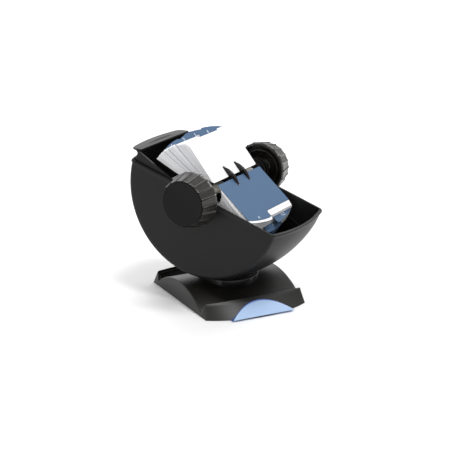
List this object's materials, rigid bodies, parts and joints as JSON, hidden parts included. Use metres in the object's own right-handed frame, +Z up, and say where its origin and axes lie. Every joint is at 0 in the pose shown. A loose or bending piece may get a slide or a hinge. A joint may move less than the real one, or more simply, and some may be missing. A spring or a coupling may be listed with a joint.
{
  "type": "rotary card file",
  "caption": "Covered rotary card file: a wheel of index cards between two fluted knobs in a swivelling tray with a rolling cover.",
  "frame": {"origin": "on the swivel axis at desk level, at the centre of the base's underside", "axes": "+Z up, -Y towards the front edge of the base, +X to the right; the tray stands turned 31.6 degrees anticlockwise from above"},
  "size_m": [0.2121, 0.2401, 0.2086],
  "materials": {
    "black_plastic": "fine matte moulding",
    "gloss_black": "polished",
    "knob_plastic": "satin moulding",
    "badge": "smooth pale blue",
    "rubber": "matte non-slip sheet",
    "steel": "zinc plated",
    "bearing_plastic": "natural low-friction moulding",
    "rail_plastic": "glossy",
    "card_white": "smooth white card",
    "guide_blue": "tinted flexible sheet"
  },
  "bodies": {
    "base": {"base_shell": "black_plastic", "base_plate": "steel", "base_pad": "rubber", "base_screws": "steel", "badge_plate": "badge", "swivel_collar": "gloss_black", "swivel_washer": "bearing_plastic"},
    "tray": {"tray_shell": "black_plastic", "tray_neck": "black_plastic", "neck_screws": "steel", "pivot_washer": "steel", "pivot_screw": "steel", "bush_left": "bearing_plastic", "bush_right": "bearing_plastic", "clutch_race": "steel"},
    "cover": {"cover_shell": "black_plastic", "cover_cheek_left": "black_plastic", "cover_cheek_right": "black_plastic"},
    "wheel": {"spindle": "steel", "rail_left": "rail_plastic", "rail_right": "rail_plastic", "hub_tube": "bearing_plastic", "spacer_tubes": "bearing_plastic", "knob_left": "knob_plastic", "knob_right": "knob_plastic", "knob_caps": "knob_plastic", "knob_screws": "steel", "clutch_balls": "steel", "clutch_plate": "steel", "clutch_spring": "steel", "stop_collar": "steel", "cards_rear": "card_white", "cards_lower": "card_white", "index_guide_1": "guide_blue", "index_guide_2": "guide_blue", "index_guide_3": "guide_blue", "index_guide_4": "guide_blue", "index_guide_5": "guide_blue", "index_guide_6": "guide_blue", "index_guide_7": "guide_blue", "index_guide_8": "guide_blue", "index_guide_9": "guide_blue", "index_guide_10": "guide_blue", "index_guide_11": "guide_blue", "index_guide_12": "guide_blue", "index_guide_13": "guide_blue", "index_guide_14": "guide_blue", "index_guide_15": "guide_blue", "index_guide_16": "guide_blue", "index_guide_17": "guide_blue", "index_guide_18": "guide_blue", "index_guide_19": "guide_blue", "index_guide_20": "guide_blue", "index_guide_21": "guide_blue", "index_guide_22": "guide_blue", "index_guide_23": "guide_blue", "index_guide_24": "guide_blue"},
    "open_card": {"front_card": "card_white"}
  },
  "joints": [
    {"name": "tray_swivel", "type": "hinge", "parent": "base", "child": "tray", "pos_m": [0, 0, 0.03], "axis": [0, 0, 1], "continuous": true},
    {"name": "wheel_spin", "type": "hinge", "parent": "tray", "child": "wheel", "pos_m": [0, 0, 0.1448], "axis": [0.8517, 0.524, 0], "continuous": true},
    {"name": "cover_roll", "type": "hinge", "parent": "tray", "child": "cover", "pos_m": [0, 0, 0.1448], "axis": [0.8517, 0.524, 0], "range_deg": [0, 168]},
    {"name": "card_flip", "type": "hinge", "parent": "wheel", "child": "open_card", "pos_m": [0.00552, -0.00897, 0.1586], "axis": [0.8517, 0.524, 0], "range_deg": [0, 128]}
  ]
}
